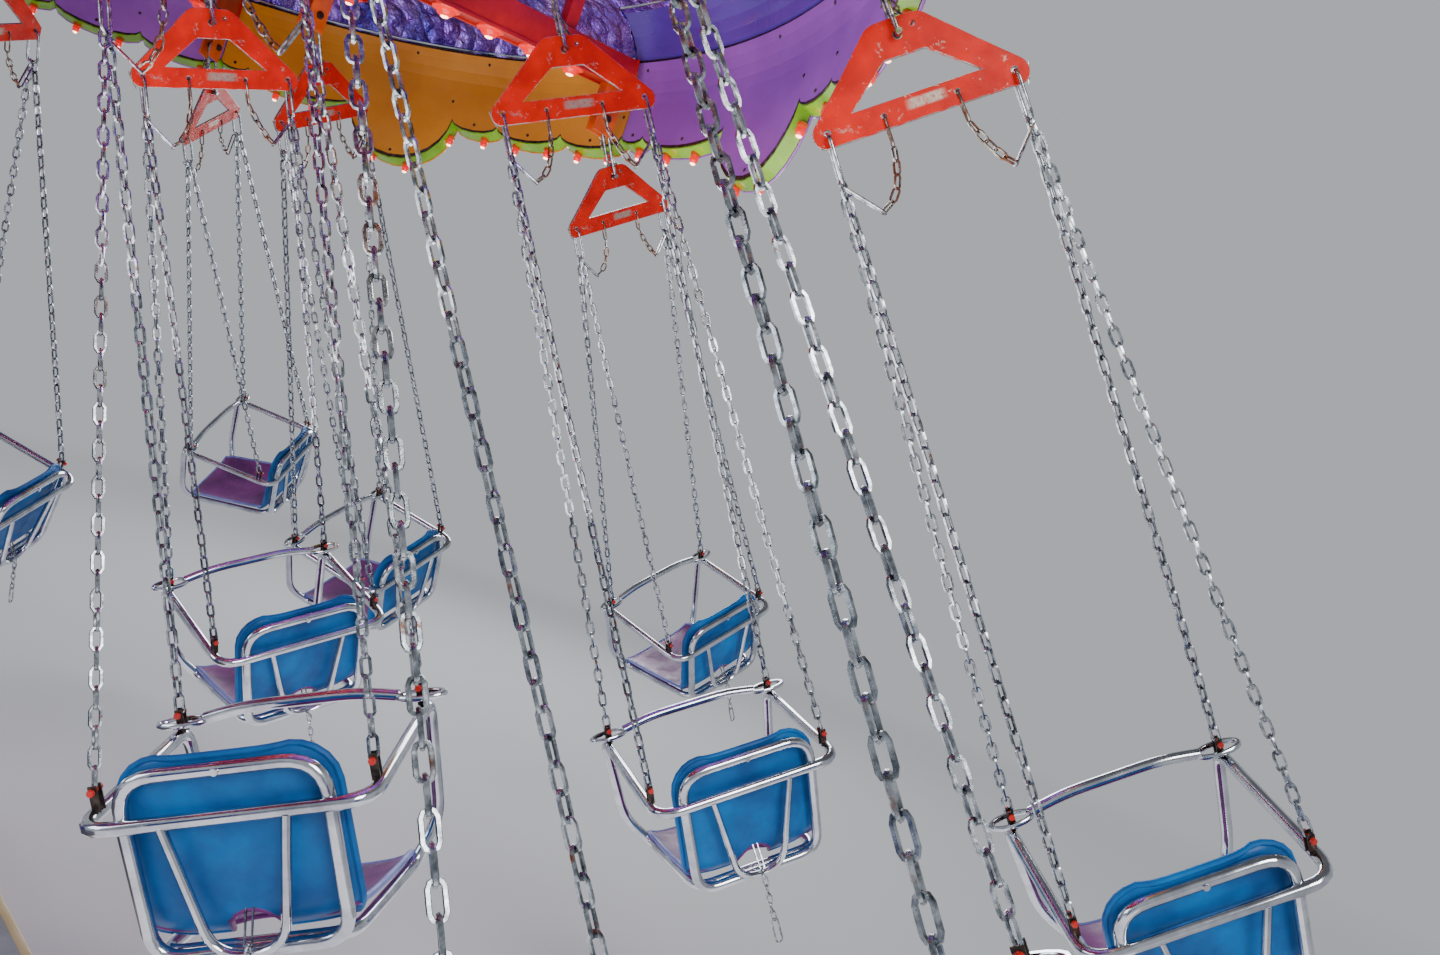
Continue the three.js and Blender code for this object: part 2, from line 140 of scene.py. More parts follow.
class Nodes:
    """A node tree with short calls for the nodes that repeat. Colours may be hex strings."""

    def __init__(self, name, owner=None, main="Principled BSDF", coords="Object"):
        self.material = owner or bpy.data.materials.new(name)
        self.material.use_nodes = True
        self.tree = self.material.node_tree
        self.shader = self.tree.nodes[main]
        self.coords = self.node("TexCoord").outputs[coords]

    def give(self, socket, value):
        """Puts a constant or another node's output into a socket."""
        if isinstance(value, bpy.types.NodeSocket):
            self.tree.links.new(value, socket)
        else:
            socket.default_value = linear(value) if isinstance(value, str) else value

    def node(self, kind, **inputs):
        node = self.tree.nodes.new("ShaderNode" + kind)
        for name, value in inputs.items():
            self.give(node.inputs[name.replace("_", " ")], value)
        return node

    def set(self, **inputs):
        for name, value in inputs.items():
            self.give(self.shader.inputs[name.replace("_", " ")], value)

    def noise(self, scale, detail, rough=0.55, stretch=None):
        vector = self.coords
        if stretch:
            vector = self.node("Mapping", Scale=stretch, Vector=vector).outputs["Vector"]
        node = self.node("TexNoise", Scale=scale, Detail=detail, Roughness=rough, Vector=vector)
        return node.outputs["Fac"]

    def cells(self, scale):
        return self.node("TexVoronoi", Scale=scale, Vector=self.coords).outputs["Distance"]

    def ramp(self, value, stops):
        node = self.node("ValToRGB", Fac=value)
        elements = node.color_ramp.elements
        while len(elements) < len(stops):
            elements.new(0.5)
        for element, (at, colour) in zip(elements, stops):
            element.position = at
            element.color = linear(colour)
        return node.outputs["Color"]

    def span(self, value, low, high, out_low=0, out_high=1):
        limits = {"From_Min": low, "From_Max": high, "To_Min": out_low, "To_Max": out_high}
        return self.node("MapRange", Value=value, **limits).outputs["Result"]

    def math(self, operation, a, b=0):
        node = self.node("Math")
        node.operation = operation
        self.give(node.inputs[0], a)
        self.give(node.inputs[1], b)
        return node.outputs["Value"]

    def mix(self, factor, a, b):
        node = self.node("Mix")
        node.data_type = "RGBA"
        for socket, value in zip([s for s in node.inputs if s.enabled], (factor, a, b)):
            self.give(socket, value)
        return [s for s in node.outputs if s.enabled][0]

    def axis(self, index):
        return self.node("SeparateXYZ", Vector=self.coords).outputs[index]

    def cloud(self, scale, dark, light, high=0.65):
        """Slow drift from one colour to another."""
        return self.mix(self.span(self.noise(scale, 5), 0.35, high), dark, light)

    def sheen(self, scale, low, high):
        """Roughness that varies between two values."""
        self.set(Roughness=self.span(self.noise(scale, 4), 0.3, 0.7, low, high))

    def bump(self, height, strength, distance):
        node = self.node("Bump", Strength=strength, Distance=distance, Height=height)
        self.set(Normal=node.outputs["Normal"])


def surface(name, cloud, mask, over, sheen, grain, **sockets):
    """A cloudy colour, another one over it through a ragged mask, a sheen and fine grain."""
    n = Nodes(name)
    ragged = n.span(n.noise(*mask[0]), *mask[1])
    n.set(Base_Color=n.mix(ragged, n.cloud(*cloud), over), **sockets)
    n.sheen(*sheen)
    n.bump(n.noise(*grain[:2]), *grain[2:])
    return n.material


def paint(name, base, dark, scale, rough, peel, bump, metal=0, coat=0, speck=0.35):
    """Gloss or satin paint: slow colour drift, fine speckle and orange peel."""
    cloud, sheen, grain = (scale, dark, base, 0.68), (scale * 3, *rough), (peel, 3, bump, 0.001)
    specks = ((scale * 22, 3), (0.62, 0.74, 0, speck))
    return surface(name, cloud, specks, scaled(dark, 0.45), sheen, grain, Metallic=metal, Coat_Weight=coat)


def red_paint():
    """Bright red paint with scrapes through to bare metal and a worn patch on the lower bar."""
    n = Nodes("hanger_red_paint")
    scrape = n.span(n.noise(30, 8, 0.7), 0.6, 0.63)
    x = n.math("ABSOLUTE", n.math("SUBTRACT", n.axis(0), 0.012))
    z = n.math("ABSOLUTE", n.math("ADD", n.axis(2), 0.343))
    inside = n.math("MULTIPLY", n.span(x, 0.03, 0.046, 1, 0), n.span(z, 0.008, 0.013, 1, 0))
    patch = n.math("MULTIPLY", inside, n.span(n.noise(70, 6, 0.7), 0.34, 0.46))
    worn = n.math("MAXIMUM", patch, n.math("MULTIPLY", scrape, 0.75))
    bare = n.mix(n.noise(160, 4), "8d7a6c", "c9bcae")
    n.set(Base_Color=n.mix(worn, n.cloud(9, "b40e03", "e41d05", 0.7), bare))
    n.set(Metallic=n.math("MULTIPLY", worn, 0.6), Coat_Weight=0.03, Specular_IOR_Level=0.22)
    n.sheen(40, 0.36, 0.58)
    n.bump(n.math("SUBTRACT", n.noise(120, 3), worn), 0.2, 0.0008)
    return n.material


def worn_edge():
    """The plate's edge, mostly rubbed to bare steel."""
    n = Nodes("hanger_worn_edge")
    mask = n.span(n.noise(38, 7, 0.65), 0.42, 0.52)
    bare = n.mix(n.noise(220, 3), "7d7671", "d0ccc6")
    n.set(Base_Color=n.mix(mask, "c21a0a", bare), Metallic=n.math("MULTIPLY", mask, 0.85))
    n.sheen(90, 0.22, 0.5)
    n.bump(n.noise(260, 4), 0.3, 0.0005)
    return n.material


def chain_steel(name, bright, dull, rust_from):
    """Galvanised links: bright worn faces, duller zinc, rust in patches."""
    n = Nodes(name)
    rust = n.span(n.noise(26, 7, 0.7), rust_from, rust_from + 0.09)
    n.set(Base_Color=n.mix(rust, n.cloud(60, dull, bright), "6b3a1e"))
    n.set(Metallic=n.span(rust, 0, 1, 1, 0.35))
    n.sheen(140, 0.12, 0.34)
    n.bump(n.noise(420, 3), 0.22, 0.0004)
    return n.material


def chrome():
    """Polished tube with hand-rubbed haze, fine scratches and a few pits."""
    n = Nodes("chair_chrome_tube")
    colour = n.mix(n.span(n.noise(14, 5), 0.4, 0.7), "d9dde4", "a9adb6")
    pits = n.span(n.noise(180, 6, 0.7), 0.66, 0.72)
    n.set(Base_Color=n.mix(pits, colour, "5b4a40"), Metallic=1)
    n.set(Roughness=n.span(n.noise(22, 6), 0.35, 0.75, 0.05, 0.2))
    n.bump(n.noise(90, 8, 0.6, (1, 6, 1)), 0.06, 0.0004)
    return n.material


def moulded(name, base, deep, pale, scuff_from):
    """Moulded plastic: a soft sheen, cloudy colour, scuffs that have gone pale, fine grain."""
    cloud, sheen, grain = (7, deep, base, 0.68), (18, 0.32, 0.58), (330, 3, 0.18, 0.0005)
    scuffs = ((34, 8, 0.75, (1, 1, 4)), (scuff_from, scuff_from + 0.1, 0, 0.7))
    return surface(name, cloud, scuffs, pale, sheen, grain, Specular_IOR_Level=0.3)


def lamp(name, colour, strength, rough=0.12):
    """Lit coloured glass, and also the reflector's painted glow of lamp light."""
    n = Nodes(name)
    shade = n.span(n.noise(90, 2), 0.3, 0.7)
    n.set(Base_Color=n.mix(shade, colour, scaled(colour, 1.25)), Roughness=rough, Coat_Weight=0.5)
    n.set(Emission_Color=colour, Emission_Strength=strength)
    n.bump(n.noise(160, 2), 0.1, 0.0006)
    return n.material


def foil():
    """The crinkled blue-purple lining of the ceiling."""
    n = Nodes("ceiling_crinkled_foil")
    colour = n.ramp(n.cells(9), [(0, "4a3fc4"), (0.5, "7266e0"), (1, "c4b8ff")])
    n.set(Base_Color=n.mix(n.span(n.noise(3, 4), 0.4, 0.7), colour, "b070e8"), Metallic=0.95)
    n.sheen(30, 0.04, 0.16)
    n.bump(n.math("ADD", n.cells(14), n.noise(20, 5)), 1, 0.03)
    return n.material


def dark_steel():
    """Dark fittings with patches of rust, also used as painted shadow in the gap over the canopy's lobed
    edge.
    """
    cloud, sheen, grain = (50, "2b2522", "5a504a"), (70, 0.3, 0.6), (240, 4, 0.3, 0.0006)
    rust = ((22, 6), (0.55, 0.68, 0, 0.7))
    return surface("fitting_dark_steel_and_gap_shadow", cloud, rust, "5a2413", sheen, grain, Metallic=0.8)


RED = red_paint()
EDGE = worn_edge()
LINK = chain_steel("chain_steel_links", "c9d0d6", "656d73", 0.6)
SLACK = chain_steel("safety_chain_links", "a9a39a", "6a5f55", 0.5)
CHROME = chrome()
DARK = dark_steel()
BLUE = moulded("seat_back_blue", "0f73bd", "084b8a", "5fa6d4", 0.66)
PURPLE = moulded("seat_pan_purple", "8c3a8a", "5c2462", "b080b8", 0.6)
PALE = moulded("seat_rim_pale", "8f97d6", "6a70b8", "d8dcf6", 0.58)
VIOLET = paint("canopy_violet", "b268d0", "8c4cb0", 1.6, (0.3, 0.5), 60, 0.08, coat=0.2, speck=0.1)
INDIGO = paint("canopy_indigo", "6a46b8", "482c92", 1.6, (0.22, 0.42), 60, 0.08, coat=0.3, speck=0.1)
AMBER = paint("canopy_amber", "eda024", "c87a10", 1.6, (0.3, 0.5), 60, 0.08, coat=0.2, speck=0.1)
GREEN = paint("canopy_rim_green", "92d00e", "64980a", 4, (0.25, 0.45), 90, 0.1, coat=0.3)
ARM_RED = paint("arm_red", "dd2210", "9c1208", 5, (0.28, 0.5), 110, 0.15, coat=0.2)
ORANGE = paint("bracket_orange", "f0640f", "b5420a", 12, (0.3, 0.5), 120, 0.15, coat=0.2)
MAST = paint("mast_indigo", "3a2f9e", "221a66", 3, (0.25, 0.45), 90, 0.12, coat=0.3)
DECK = paint("deck_grey", "7d8088", "55585f", 5, (0.45, 0.7), 60, 0.4, metal=0.4)
ROOF = paint("roof_violet", "7d45b8", "6236a0", 1.4, (0.25, 0.45), 50, 0.1, coat=0.3, speck=0.12)
CREAM = paint("trim_cream", "f0dfa8", "cdb678", 4, (0.3, 0.5), 90, 0.12)
BULB = lamp("bulb_red_glass", "ff1206", 0.55)
# The reflector's emission is a painted glow of the bulb's light on the dish, not a lamp of its own.
GLOW = lamp("lamp_reflector_painted_glow", "ff1406", 0.4, 0.3)
BULB_CORE = lamp("bulb_lit_core", "ffb494", 9)
FOIL = foil()


# ---- mesh helpers
class Solid:
    """Points, faces and material numbers of several forms, gathered into one mesh."""

    def __init__(self):
        self.points, self.faces, self.slots = [], [], []

    def add(self, form, slot=0, matrix=None):
        """Adds a form, which is its points and its faces."""
        points, faces = np.asarray(form[0], dtype=float), form[1]
        if matrix is not None:
            m = np.array(matrix)
            points = points @ m[:3, :3].T + m[:3, 3]
        start = len(self.points)
        self.points += points.tolist()
        self.faces += [tuple(i + start for i in face) for face in faces]
        self.slots += [slot] * len(faces)

    def add_used(self, points, faces, slot=0):
        """Adds the faces with only the points that they use."""
        used = sorted({i for face in faces for i in face})
        number = {old: new for new, old in enumerate(used)}
        faces = [tuple(number[i] for i in face) for face in faces]
        self.add(([points[i] for i in used], faces), slot)

    def mesh(self, name, materials, angle):
        """The mesh, smooth up to an angle in degrees."""
        mesh = bpy.data.meshes.new(name)
        mesh.from_pydata(self.points, [], self.faces)
        for material in materials:
            mesh.materials.append(material)
        mesh.polygons.foreach_set("material_index", self.slots)
        mesh.validate()
        bm = bmesh.new()
        bm.from_mesh(mesh)
        bmesh.ops.recalc_face_normals(bm, faces=bm.faces)
        bm.to_mesh(mesh)
        bm.free()
        mesh.shade_smooth()
        mesh.set_sharp_from_angle(angle=radians(angle))
        return mesh


def put(name, mesh, body, slot, *replaces, matrix=None):
    """A piece of that mesh on a CAD body, instead of CAD nodes. The slot is not used."""
    piece = new_object(name, mesh)
    if matrix is not None:
        piece.matrix_world = matrix
    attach(piece, body)
    if replaces:
        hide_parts(*replaces)


def grid_faces(rows, columns, ring_of_rows=False, ring_of_columns=False):
    """Quads between neighbours in a grid of points that is listed row by row."""
    faces = []
    for i in range(rows if ring_of_rows else rows - 1):
        here, there = i * columns, (i + 1) % rows * columns
        for k in range(columns if ring_of_columns else columns - 1):
            n = (k + 1) % columns
            faces.append((here + k, here + n, there + n, there + k))
    return faces


def mirrored(points):
    """A path followed by its mirror image in x, walked back."""
    return points + [(-x, y, z) for x, y, z in reversed(points)]


def rounded(points, reaches, closed=False, steps=5):
    """A path with each corner turned by a short smooth bend."""
    points = [Vector(p) for p in points]
    count = len(points)
    if not isinstance(reaches, list):
        reaches = [reaches] * count
    path = []
    for i, (corner, reach) in enumerate(zip(points, reaches)):
        if reach == 0 or (not closed and i in (0, count - 1)):
            path.append(corner)
            continue
        start = corner + (points[i - 1] - corner).normalized() * reach
        end = corner + (points[(i + 1) % count] - corner).normalized() * reach
        for k in range(steps + 1):
            t = k / steps
            path.append(start * (1 - t) ** 2 + corner * (2 * t * (1 - t)) + end * t**2)
    return path


def tube(path, radius, sides=8, closed=False, across=(0, 0, 1)):
    """Points and faces of a round bar along a path that doesn't start along `across`."""
    path = [Vector(p) for p in path]
    count = len(path)
    side = Vector(across)
    points = []
    for i, spot in enumerate(path):
        before = path[i - 1] if closed or i > 0 else spot
        after = path[(i + 1) % count] if closed or i < count - 1 else spot
        along = (after - before).normalized()
        side = (side - along * side.dot(along)).normalized()
        other = along.cross(side)
        for a in angles(sides, 0.5):
            points.append(tuple(spot + side * (radius * cos(a)) + other * (radius * sin(a))))
    faces = grid_faces(count, sides, closed, True)
    if not closed:
        faces += [tuple(range(sides))[::-1], tuple(range((count - 1) * sides, count * sides))]
    return points, faces


def lathe(profile, sides, axis="Z", close=False):
    """A profile of (radius, height) turned about an axis; ends at radius 0 become points.
    Other ends stay open, or get a flat face with `close`."""
    points, faces, rings = [], [], []
    for radius, height in profile:
        ring = [(0, 0, height)]
        if radius > 1e-6:
            ring = [(radius * cos(a), radius * sin(a), height) for a in angles(sides)]
        rings.append(range(len(points), len(points) + len(ring)))
        points += ring
    for low, high in zip(rings, rings[1:]):
        for k in range(sides):
            n = (k + 1) % sides
            corners = [ring[i % len(ring)] for ring, i in ((low, k), (low, n), (high, n), (high, k))]
            faces.append(tuple(dict.fromkeys(corners)))
    if close:
        faces += [tuple(ring) for ring in (rings[0][::-1], rings[-1]) if len(ring) > 1]
    if axis == "Y":
        points = [(x, z, -y) for x, y, z in points]
    if axis == "X":
        points = [(z, x, y) for x, y, z in points]
    return points, faces


def block(low, high, bevel):
    """A box with its twelve edges cut back."""
    bm = bmesh.new()
    low, high = Vector(low), Vector(high)
    middle, size = (low + high) / 2, high - low
    bmesh.ops.create_cube(bm, size=1, matrix=moved(*middle) @ Matrix.Diagonal((*size, 1)))
    bmesh.ops.bevel(bm, geom=bm.edges[:], offset=bevel, segments=2, affect="EDGES", profile=0.6)
    points = [tuple(v.co) for v in bm.verts]
    faces = [tuple(v.index for v in f.verts) for f in bm.faces]
    bm.free()
    return points, faces


def cut_plate(outlines, thickness, bevel):
    """A flat plate in the X-Z plane from one outline and its holes, with rounded edges.
    Gives points, faces and a flag for the faces of the rounded edge."""
    curve = bpy.data.curves.new("cut_plate", "CURVE")
    curve.dimensions = "2D"
    curve.fill_mode = "BOTH"
    curve.extrude = thickness / 2 - bevel
    curve.bevel_depth = bevel
    curve.bevel_resolution = 1
    for outline in outlines:
        spline = curve.splines.new("POLY")
        spline.points.add(len(outline) - 1)
        for point, (x, z) in zip(spline.points, outline):
            point.co = (x, z, 0, 1)
        spline.use_cyclic_u = True
    holder = new_object("cut_plate", curve)
    solved = holder.evaluated_get(bpy.context.evaluated_depsgraph_get())
    mesh = bpy.data.meshes.new_from_object(solved)
    points = [(v.co.x, -v.co.z, v.co.y) for v in mesh.vertices]
    faces = [tuple(f.vertices) for f in mesh.polygons]
    edge = [abs(f.normal.z) < 0.98 for f in mesh.polygons]
    bpy.data.objects.remove(holder)
    bpy.data.meshes.remove(mesh)
    return points, faces, edge


def circle(x, z, radius):
    return [(x + radius * cos(a), z + radius * sin(a)) for a in angles(14)]


def link_form(pitch, wire, inner_width, sides, bend):
    """One chain link along X, its opening in the X-Y plane."""
    reach = (inner_width + wire) / 2
    straight = max((pitch + wire) / 2 - reach, 0.0005)
    path = []
    for end in (1, -1):
        for k in range(bend + 1):
            angle = pi * k / bend - end * pi / 2
            path.append((end * straight + reach * cos(angle), reach * sin(angle), 0))
    return tube(path, wire / 2, sides, closed=True)


def between(start, end, along, across):
    """The matrix of a form halfway between two points, from its x and y axes."""
    matrix = Matrix((along, across, along.cross(across))).transposed().to_4x4()
    matrix.translation = (start + end) / 2
    return matrix


def lay_chain(solid, path, pitch, wire, inner_width, turn, jitter, seed, slot=0, bend=3):
    """Links one after another along a path, each turned a quarter from the last."""
    link = link_form(pitch, wire, inner_width, 5, bend)
    path = [Vector(p) for p in path]
    lengths = [0]
    for a, b in zip(path, path[1:]):
        lengths.append(lengths[-1] + (b - a).length)
    count = max(1, round(lengths[-1] / pitch))
    marks = np.linspace(0, lengths[-1], count + 1)
    ends = [Vector(p) for p in zip(*(np.interp(marks, lengths, values) for values in zip(*path)))]
    chance = random.Random(seed)
    side = Vector((0, 1, 0.2))
    for i, (start, end) in enumerate(zip(ends, ends[1:])):
        along = (end - start).normalized()
        side = (side - along * side.dot(along)).normalized()
        angle = turn + i % 2 * pi / 2 + chance.uniform(-jitter, jitter)
        across = side * cos(angle) + along.cross(side) * sin(angle)
        solid.add(link, slot, between(start, end, along, across))


def long_link(solid, start, end, width, wire, plane, slot=0, sides=8):
    """A long link between two bearing points, opened along `plane`."""
    start, end, across = Vector(start), Vector(end), Vector(plane)
    along = (end - start).normalized()
    across = (across - along * across.dot(along)).normalized()
    link = link_form((end - start).length - wire, wire, width - 2 * wire, sides, 6)
    solid.add(link, slot, between(start, end, along, across))


# ---- swing: hanger
def plate_mesh():
    """The plate with its window and the holes for links, safety chains, clevis bolt and screw."""
    half = [(0.055, 0.18), (0.15, 0.086), (0.234, 0.006), (0.222, -0.03), (0.12, -0.0295)]
    reaches = [0.02, 0, 0.022, 0.018, 0]
    window = [(0.046, 0.103), (0.143, 0.022)]

    def bent(corners, reach, steps):
        path = mirrored([(x, 0, PLATE_HOLE_Z + up) for x, up in corners])
        return [(p.x, p.z) for p in rounded(path, reach, closed=True, steps=steps)]

    outlines = [
        bent(half, reaches + reaches[::-1], 5),
        bent(window, 0.005, 3),
        circle(-PLATE_HOLE_X, PLATE_HOLE_Z, 0.0085),
        circle(PLATE_HOLE_X, PLATE_HOLE_Z, 0.0085),
        circle(-0.08, PLATE_HOLE_Z - 0.004, 0.007),
        circle(0.076, PLATE_HOLE_Z - 0.004, 0.007),
        circle(0, BOLT_Z, 0.011),
        circle(0.036, -0.188, 0.007),
    ]
    points, faces, edge = cut_plate(outlines, 0.01, 0.0012)
    solid = Solid()
    for slot in (0, 1):
        solid.add((points, [face for face, worn in zip(faces, edge) if worn == slot]), slot)
    return solid.mesh("hanger_plate", [RED, EDGE], 30)


def hanger_steel_mesh():
    """Eye, long link, clevis and bolt over the plate, and the slack safety chains."""
    solid = Solid()
    ring = [(0.0155 * cos(a), 0, 0.0155 * sin(a)) for a in angles(20)]
    solid.add(tube(ring, 0.0055, closed=True, across=(0, 1, 0)))
    long_link(solid, (0, 0, 0.006), (0, 0, -0.176), 0.042, 0.011, (0, 1, 0))
    bow = [(0, -0.017, -0.205), (0, -0.017, -0.158), (0, 0.017, -0.158), (0, 0.017, -0.205)]
    solid.add(tube(rounded(bow, 0.016, steps=6), 0.0055, across=(1, 0, 0)))
    bolt = [(0, -0.026), (0.007, -0.026), (0.008, -0.024), (0.008, 0.024), (0.007, 0.026), (0, 0.026)]
    solid.add(lathe(bolt, 10, "Y"), 0, moved(0, 0, BOLT_Z))
    top = [(0.036, 0, -0.186), (0.034, 0.022, -0.164), (0.012, 0.036, -0.118)]
    top += [(0.002, 0.034, -0.07), (0.008, 0.02, -0.02), (0.009, 0, 0.004)]
    lay_chain(solid, rounded(top, 0.03), 0.03, 0.0055, 0.0095, 0.9, 0.25, seed=5, slot=1)
    # The slack side chains, as x, y and depth under the line of the holes.
    right = [(0.081, 0.004, 0.062), (0.098, 0.006, 0.11), (0.122, 0.004, 0.158), (0.142, 0, 0.18)]
    left = [(-0.082, -0.004, 0.07), (-0.092, -0.006, 0.125), (-0.112, -0.004, 0.17), (-0.145, 0, 0.186)]
    for side, hole, path, seed in ((1, 0.076, right, 11), (-1, -0.08, left, 12)):
        path = [(hole, 0, 0.01), *path]
        first, second, *rest, end = (Vector((x, y, PLATE_HOLE_Z - down)) for x, y, down in path)
        second = first + (second - first).normalized() * 0.058
        long_link(solid, first + Vector((0, 0, 0.008)), second, 0.021, 0.0055, (0, 1, 0), 1, 6)
        sag = rounded([second - Vector((0, 0, 0.002)), *rest, end], 0.02)
        lay_chain(solid, sag, 0.027, 0.0055, 0.009, 0.8, 0.3, seed, slot=1)
        hook = Vector((side * 0.2045, 0.004, PLATE_HOLE_Z - 0.112))
        long_link(solid, end + (end - hook).normalized() * 0.006, hook, 0.021, 0.0062, (0, 1, 0), 0, 6)
    return solid.mesh("hanger_steel", [LINK, SLACK], 50)


# ---- swing: chains and chair
def chains_mesh(drop, bend):
    """The long end links in the plate's holes and two chains from each to the hoop's lugs."""
    solid = Solid()
    for side in (-1, 1):
        x = side * PLATE_HOLE_X
        foot = x * 1.012
        long_link(solid, (x, 0, 0), (foot, 0, -0.108), 0.044, 0.0085, (0, 1, 0))
        for end in (-1, 1):
            start = Vector((foot, end * 0.006, -0.101))
            lug = Matrix.Rotation(RECLINE, 3, "X") @ Vector((side * LUG_X, end * LUG_Y, 0.05))
            path = [start, lug - Vector((0, 0, drop))]
            turn = 0.5 + 0.4 * end * side
            lay_chain(solid, path, 0.035, 0.007, 0.0105, turn, 0.1, 20 + side * 3 + end, bend=bend)
    return solid.mesh("chair_chains", [LINK], 60)


def chair_frame_mesh():
    """Chrome tubes, flat eyes of the lap bar, a screw on the back and four lugs with bolts."""
    bar, back_y, back_top = 0.0138, -0.241, 0.084
    solid = Solid()
    # The one closed tube: rear bar, arms, front legs, rails under the pan and bottom bar.
    loop = [(ARM_X, HOOP_REAR, 0), (ARM_X, HOOP_FRONT, 0), (0.24, HOOP_FRONT - 0.004, -0.266)]
    loop += [(0.18, 0.152, -0.342), (0.175, -0.222, -0.263)]
    bends = [0.064, 0.042, 0.055, 0.03, 0.05]
    loop = rounded(mirrored(loop), bends + bends[::-1], closed=True, steps=6)
    solid.add(tube(loop, bar, 9, closed=True))
    back = mirrored([(-0.178, back_y, -0.264), (-0.184, back_y, back_top)])
    back = rounded(back, [0.06, 0.075, 0.075, 0.06], closed=True, steps=6)
    solid.add(tube(back, bar, 9, closed=True, across=(0, 1, 0)))
    stay = mirrored([(-0.11, -0.258, -0.006), (-0.064, -0.256, -0.262)])
    solid.add(tube(rounded(stay, [0, 0.058, 0.058, 0], steps=7), 0.0095, across=(0, 1, 0)))
    lap = mirrored([(-0.205, 0.184, 0.028), (-0.12, 0.187, 0.043)])
    solid.add(tube(rounded(lap, 0.05, steps=4), 0.013, 10))
    for side in (-1, 1):
        eye = [(side * (0.251 + 0.05 * cos(a)), 0.182 + 0.021 * sin(a), 0.025) for a in angles(18)]
        solid.add(tube(eye, 0.0068, closed=True))
    screw = [(0, 0), (0.007, 0), (0.0075, 0.002), (0.006, 0.005), (0, 0.0065)]
    solid.add(lathe(screw, 10, "Y"), 0, moved(0, back_y - 0.018, back_top))
    shank = [(0.0072, -0.0135), (0.0042, -0.013), (0.0042, 0.013), (0.0068, 0.0135)]
    bolt = [(0, -0.02), (0.0062, -0.02), (0.0072, -0.0188), *shank, (0.0068, 0.018), (0, 0.019)]
    for x in (-LUG_X, LUG_X):
        for y in (-LUG_Y, LUG_Y):
            for cheek in (y - 0.008, y + 0.008):
                low, high = (x - 0.008, cheek - 0.0018, 0.006), (x + 0.008, cheek + 0.0018, 0.056)
                solid.add(block(low, high, 0.0008), 1)
            solid.add(lathe(bolt, 8, "Y"), 2, moved(x, y, 0.046))
    return solid.mesh("chair_frame", [CHROME, DARK, ARM_RED], 45)


def bent_sheet(solid, shape, columns, rows, shift):
    """A thin sheet over shape(u, v), u from -1 to 1, closer in the middle, and v from 0 to 1.
    Gives the points of its foot, and of its edge up one side, over the top and down the other."""
    spread = [copysign(abs(-1 + 2 * i / columns) ** 1.4, 2 * i - columns) for i in range(columns + 1)]
    points = [shape(u, j / rows) for j in range(rows + 1) for u in spread]
    points += [tuple(Vector(p) + Vector(shift)) for p in points]
    across = columns + 1
    half = across * (rows + 1)
    faces = []
    for a, b, c, d in grid_faces(rows + 1, across):
        faces += [(a, b, c, d), (half + a, half + d, half + c, half + b)]
    edge = [j * across for j in range(rows + 1)]
    edge += [rows * across + i for i in range(1, across)]
    edge += [j * across + columns for j in range(rows - 1, -1, -1)]
    ring = edge + list(range(columns - 1, 0, -1))
    for a, b in zip(ring, ring[1:] + ring[:1]):
        faces.append((a, b, half + b, half + a))
    solid.add((points, faces))
    return points[:across], [points[i] for i in edge]


def rolled_edge(solid, points, shift, radius, slot=0, across=(0, 1, 0)):
    """A bead along an edge, leaving out points that crowd together."""
    path = [Vector(points[0])]
    for p in points[1:]:
        if (Vector(p) - path[-1]).length > 0.009:
            path.append(Vector(p))
    solid.add(tube([p + Vector(shift) / 2 for p in path], radius, across=across), slot)


def notch(x):
    """Depth at x of the round notch in the foot of the back and the rear of the pan."""
    return sqrt(max(0.052**2 - x * x, 0))


def seat_back_mesh():
    """The blue back: wrapped sides, rounded corners, a turned-in foot with the notch."""
    wide, top, low, corner = 0.197, 0.104, -0.246, 0.078
    shift = (0, -0.006, 0)
    solid = Solid()

    def shape(u, v):
        x = wide * u
        start = low + notch(x)
        z = start + (top - start) * (1 - cos(pi * v)) / 2
        narrow = wide - 0.026 * max(0, 1 - (z - low) / 0.05) ** 2
        if z > top - corner:
            rise = (z - (top - corner)) / corner
            narrow = wide - corner + corner * sqrt(max(1 - rise * rise, 0))
        wrap = 0.02 * abs(u) ** 5 * (1 - 0.35 * v)
        foot = 0.03 * max(0, 1 - (z - low) / 0.06) ** 2
        hollow = -0.003 * (1 - u * u) * sin(pi * v)
        return (x * narrow / wide, -0.2215 + wrap + foot + hollow, z)

    foot_edge, edge = bent_sheet(solid, shape, 24, 16, shift)
    rolled_edge(solid, edge, shift, 0.0072)
    for side in (foot_edge[:8], foot_edge[-8:]):
        rolled_edge(solid, side, shift, 0.005)
    rolled_edge(solid, [p for p in foot_edge if abs(p[0]) < 0.056], shift, 0.0055, slot=1)
    return solid.mesh("seat_back", [BLUE, PURPLE], 40)


def seat_pan_mesh():
    """The purple pan: dished, notched at the rear, with a rolled pale rim round its front."""
    wide, back, ahead = 0.188, -0.202, 0.188
    shift = (0, 0, -0.007)
    solid = Solid()

    def shape(u, v):
        x = wide * u * (1 - 0.05 * v**3)
        start = back + 0.7 * notch(x)
        y = start + (ahead - start) * v
        slope = -0.238 - 0.096 * (y - back) / (ahead - back)
        dish = -0.008 * (1 - u * u) * sin(pi * v)
        lip = 0.018 * abs(u) ** 6 - 0.01 * max(0, (v - 0.86) / 0.14) ** 2 + 0.008 * (1 - v) ** 6
        return (x, y, slope + dish + lip)

    rear, rim = bent_sheet(solid, shape, 22, 13, shift)
    rolled_edge(solid, rim, shift, 0.0072, slot=1, across=(0, 0, 1))
    rolled_edge(solid, rear, shift, 0.005, across=(0, 0, 1))
    return solid.mesh("seat_pan", [PURPLE, PALE], 40)


